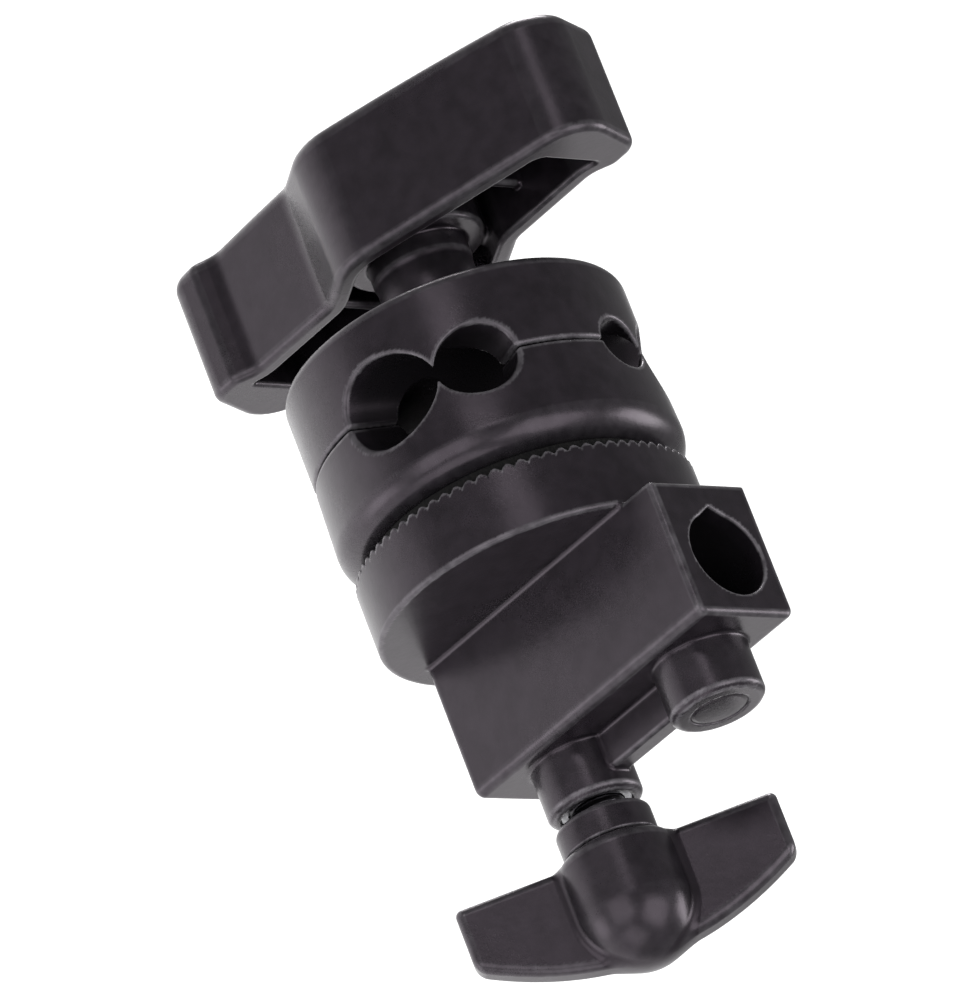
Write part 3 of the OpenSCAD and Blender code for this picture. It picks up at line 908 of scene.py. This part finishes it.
def nowhere(x, y, z):
    """For a casting with no hole that gets painted shade."""
    return np.zeros(np.broadcast(x, y, z).shape)


def in_hole(hole, from_mouth):
    """1 on a hole's own wall and 0 off it, growing with the distance from its mouth."""
    on_wall = np.clip(1 - hole / NEAR_WALL, 0, 1)
    return on_wall * np.clip((from_mouth - DEEP_FROM) / DEEP_OVER, 0, 1)


def in_groove(x, y, z):
    return in_hole(groove_field(x, y, z), JAW_R - off_bolt(y, z))


def in_socket(x, y, z):
    return in_hole(socket_field(x, y, z), np.minimum(z, BLOCK_LEN - z))


def build(node, field, grain, deep=nowhere):
    """A casting in place of its CAD node. grain is the mesh's spacing in mm."""
    show(cast(node + "_look", field, *box_mm(node), grain, deep), node)


build("body_casting", casting_field, 0.40, in_socket)
build("inner_jaw", inner_jaw_field, 0.42, in_groove)
build("outer_jaw", outer_jaw_field, 0.42, in_groove)
build("t_handle", handle_field, 0.42)
build("wing_knob", knob_field, 0.32)
build("bolt_stop_nut", nut_field, 0.25)
build("roller_cage", cage_field, 0.22)

# ---- Turned pieces on the bolt's axis ----

# A drill starts this far before the axis it crosses, and ends as far past it.
DRILL_REACH = 10


def on_bolt(h):
    """A place on the bolt's axis, h along from the disc's back."""
    return [((HEAD[0] + h, HEAD[1], HEAD[2]), (1, 0, 0))]


def on_screw(x, z=SCREW_Z):
    """A place on a boss's axis, looking out of the boss."""
    return [((x, 0, z), (-1, 0, 0))]


def washer(node, inner, ease=0.25):
    low, high = station(node, 0), station(node, 1)
    profile = ring_profile(inner, radius_of(node), high - low)
    show(turned(node + "_look", profile, on_bolt(low), ease), node)


washer("friction_disc", BOLT_R + 0.6)
washer("bolt_stop_washer", BOLT_R)
washer("thrust_washer_lower", BOLT_R + 0.2)
washer("thrust_washer_upper", BOLT_R + 0.2)
washer("handle_insert", BOLT_R + 0.05, 0.4)


def cap():
    """Plug over the bolt's end: a shallow dish with a raised rim."""
    low, high = station("handle_cap", 0), station("handle_cap", 1)
    t, r = high - low, CAVITY_R
    step, foot, rim_foot, rim_top = 0.6, r - 1.6, r - 2.6, r - 1.8
    profile = [(0, 0), (foot, 0), (foot, step), (r, step), (r, t), (rim_top, t),
               (rim_foot, t - step), (0, t - step)]
    show(turned("handle_cap_look", profile, on_bolt(low), 0.25), "handle_cap")


def main_bolt():
    low, thread_from, high = station("main_bolt", 0), OUTER_TO, station("main_bolt", 1)
    r = BOLT_R
    before = [(r - 0.6, low), (r - 0.25, low + 0.2), (r, low + 0.6), (r, thread_from - 0.5),
              (ROOT_R, thread_from)]
    after = [(ROOT_R, high - 0.6), (ROOT_R - 0.6, high)]
    origin, along = on_bolt(0)[0]
    obj = threaded("main_bolt_look", (before, after), (thread_from + 0.01, high - 0.7), r,
                   np.array(origin), along)
    start = (HEAD[0] + PIN_AT, HEAD[1] - DRILL_REACH, HEAD[2])
    drilled(obj, start, (0, 1, 0), PIN_HOLE_R, 2 * DRILL_REACH)
    show(obj, "main_bolt")


def needle_rollers():
    places = []
    for k in range(ROLLERS):
        t = 2 * math.pi * k / ROLLERS
        out = np.array([0, math.sin(t), -math.cos(t)])
        start = np.array([HEAD[0] + ROLLER_H, HEAD[1], HEAD[2]]) + out * ROLLER_START
        places.append((start, out))
    profile = rod_profile(ROLLER_R, ROLLER_LEN)
    show(turned("needle_rollers_look", profile, places, 0.25, 32), "needle_rollers")


def guide_pins():
    places = [((HEAD[0] + PIN_FROM, py, pz), (1, 0, 0)) for py, pz in GUIDES]
    profile = rod_profile(PIN_R, PIN_TO - PIN_FROM)
    show(turned("jaw_guide_pins_look", profile, places, 0.6, 48), "jaw_guide_pins")


def cross_pins():
    low, high = box_mm("bolt_cross_pin")
    start = [(((low[0] + high[0]) / 2, low[1], HEAD[2]), (0, 1, 0))]
    profile = rod_profile((high[0] - low[0]) / 2, high[1] - low[1])
    show(turned("bolt_cross_pin_look", profile, start, 0.4, 48), "bolt_cross_pin")
    point, direction = key_line()
    reach = math.sqrt((NECK_R - 0.3) ** 2 - KEY_R**2)
    begin = np.array(point) - KEY_DEEP * np.array(direction)
    profile = rod_profile(KEY_R, KEY_DEEP + reach)
    show(turned("wing_cross_pin_look", profile, [(begin, direction)], 0.35, 48), "wing_cross_pin")


def spring():
    """Round wire coiled with dead end turns."""
    wire, mean, turns, sides = 0.5, 5.9, 5, 12
    per_turn = 40
    # This share of a turn at each end lies flat against the next.
    dead = 0.6
    length = SPRING_TO - SPRING_FROM
    points, faces = [], []
    steps = turns * per_turn
    for i in range(steps + 1):
        t = 2 * math.pi * i / per_turn
        share = min(max((i / per_turn - dead) / (turns - 2 * dead), 0), 1)
        rise = dead * 2 * wire
        h = wire + rise * min(i / per_turn / dead, 1) + (length - 2 * wire - 2 * rise) * share
        h += rise * min(max((i / per_turn - turns + dead) / dead, 0), 1)
        for j in range(sides):
            a = 2 * math.pi * j / sides
            d = mean + wire * math.cos(a)
            points.append((HEAD[0] + SPRING_FROM + h + wire * math.sin(a),
                           HEAD[1] + d * math.cos(t), HEAD[2] + d * math.sin(t)))
    for i in range(steps):
        for j in range(sides):
            k = (j + 1) % sides
            faces.append((i * sides + j, i * sides + k, (i + 1) * sides + k, (i + 1) * sides + j))
    faces.append(tuple(range(sides)))
    faces.append(tuple(range(steps * sides, (steps + 1) * sides)))
    obj = install(finish_mesh(new_object("jaw_spring_look", points, faces), 60), "jaw_spring")
    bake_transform(obj)


# ---- Clamp screw and what goes with it ----


def screw_pieces():
    low, high = box_mm("screw_bush")
    profile = ring_profile(BOLT_R + 0.05, BUSH_R, high[0] - low[0])
    show(turned("screw_bush_look", profile, on_screw(high[0]), 0.3), "screw_bush")
    low, high = box_mm("boss_badge")
    t = high[0] - low[0]
    profile = [(0, 0), (BADGE_R, 0), (BADGE_R, t - 0.25), (4.4, t - 0.05), (3.4, t - 0.02), (0, t)]
    place = on_screw(high[0], SCREW_Z + BOSS_PITCH)
    show(turned("boss_badge_look", profile, place, 0.15), "boss_badge")
    low, high = box_mm("pressure_pad")
    t, pad_r, socket_r, floor_t = high[0] - low[0], 4.9, 2.05, 1
    profile = [(0, 0.15), (1.6, 0), (pad_r, 0), (pad_r, t), (socket_r, t), (socket_r, floor_t),
               (0, floor_t)]
    show(turned("pressure_pad_look", profile, on_screw(high[0]), 0.3), "pressure_pad")


def clamp_screw():
    low, high = box_mm("clamp_screw")
    tip, end = high[0], high[0] - low[0]
    # The tip turns in the pad, up to this shoulder.
    tip_r, shoulder = 2, 1.95
    neck = tip - NECK_FROM
    before = [(1.6, 0), (tip_r, 0.4), (tip_r, shoulder), (ROOT_R - 0.5, shoulder),
              (ROOT_R, shoulder + 0.4)]
    after = [(ROOT_R, end - 0.6), (ROOT_R - 0.6, end)]
    origin, along = on_screw(tip)[0]
    obj = threaded("clamp_screw_look", (before, after), (shoulder + 0.41, neck - 0.2), BOLT_R,
                   np.array(origin), along)
    point, direction = key_line()
    start = np.array(point) - DRILL_REACH * np.array(direction)
    drilled(obj, start, direction, KEY_R, 2 * DRILL_REACH)
    show(obj, "clamp_screw")


cap()
main_bolt()
needle_rollers()
guide_pins()
cross_pins()
spring()
screw_pieces()
clamp_screw()

# ---- Camera, floor and light ----

# The camera looks at this point, from this far away. Its lens is in mm.
AIM = Vector((31.5, 11.7, 27.4)) * MM
DISTANCE, LENS = 1.973, 415.3
# Where it stands about the object and above it, and how it is rolled.
AROUND, ABOVE, ROLL = (math.radians(a) for a in (120.07, 37.55, -49.27))
FLOOR_BELOW, FLOOR_HALF = 0.5, 3.0


def camera():
    """Makes the camera, and gives its right, up and backward directions."""
    data = bpy.data.cameras.new("camera")
    data.lens = LENS
    data.clip_start, data.clip_end = 0.1, 20
    obj = bpy.data.objects.new("camera", data)
    bpy.context.scene.collection.objects.link(obj)
    towards = Vector((math.cos(ABOVE) * math.cos(AROUND), math.cos(ABOVE) * math.sin(AROUND),
                      math.sin(ABOVE)))
    level_up = (Vector((0, 0, 1)) - towards * towards.z).normalized()
    up = level_up * math.cos(ROLL) + level_up.cross(towards) * math.sin(ROLL)
    right = up.cross(towards)
    obj.matrix_world = Matrix((
        (right.x, up.x, towards.x, AIM.x + towards.x * DISTANCE),
        (right.y, up.y, towards.y, AIM.y + towards.y * DISTANCE),
        (right.z, up.z, towards.z, AIM.z + towards.z * DISTANCE),
        (0, 0, 0, 1),
    ))
    bpy.context.scene.camera = obj
    return right, up, towards


def softbox(name, direction, distance, size, power):
    """An area light on the object's side given by direction, facing back along it."""
    data = bpy.data.lights.new(name, "AREA")
    data.shape = "RECTANGLE"
    data.size, data.size_y = size
    data.energy = power
    obj = bpy.data.objects.new(name, data)
    bpy.context.scene.collection.objects.link(obj)
    back = direction.normalized()
    obj.location = AIM + back * distance
    obj.rotation_mode = "QUATERNION"
    obj.rotation_quaternion = back.to_track_quat("Z", "Y")


def floor():
    """A plain pale floor, well below the object."""
    level = cad_low.z - FLOOR_BELOW
    corners = [(x * FLOOR_HALF, y * FLOOR_HALF, level) for x, y in ((-1, -1), (1, -1), (1, 1), (-1, 1))]
    mesh = bpy.data.meshes.new("floor")
    mesh.from_pydata(corners, [], [(0, 1, 2, 3)])
    obj = bpy.data.objects.new("floor", mesh)
    bpy.context.scene.collection.objects.link(obj)
    pale = Shader("pale_floor", Roughness=0.9, Specular_IOR_Level=0.1)
    patch = pale.remap(pale.noise(0.004, 2), 0.3, 0.7, 0, 1)
    mesh.materials.append(pale.set(Base_Color=pale.mix(patch, FLOOR_DARK, FLOOR_LIGHT)))


def world(strength):
    """An even white light from all round."""
    studio = bpy.data.worlds.new("studio")
    studio.use_nodes = True
    background = studio.node_tree.nodes["Background"]
    background.inputs["Color"].default_value = (1, 1, 1, 1)
    background.inputs["Strength"].default_value = strength
    bpy.context.scene.world = studio


RIGHT, UP, TOWARDS = camera()
floor()
world(0.26)
# This light is under the object and shines down, which whitens the floor.
softbox("background", Vector((0, 0, 1)), -0.2, (2.5, 2.5), 13)
softbox("rim", UP * 0.75 - RIGHT * 0.1 - TOWARDS * 0.6, 1.0, (0.45, 0.45), 8)
softbox("right_front", RIGHT * 0.58 + TOWARDS * 0.81, 1.0, (0.8, 0.8), 4.4)
softbox("right", RIGHT * 0.98 - TOWARDS * 0.15, 1.0, (0.45, 0.6), 4.5)
softbox("low_front", -RIGHT * 0.05 - UP * 0.7 + TOWARDS * 0.68, 0.9, (0.55, 0.5), 1.3)
softbox("low_left", -RIGHT * 0.8 - UP * 0.5 + TOWARDS * 0.2, 0.7, (0.3, 0.4), 0.6)
softbox("high_front", UP * 0.7 - RIGHT * 0.22 + TOWARDS * 0.68, 1.0, (0.16, 0.35), 0.55)
softbox("left_front", -RIGHT * 0.5 + TOWARDS * 0.87, 1.0, (0.8, 0.8), 3.4)
bpy.context.scene.view_settings.view_transform = "Standard"
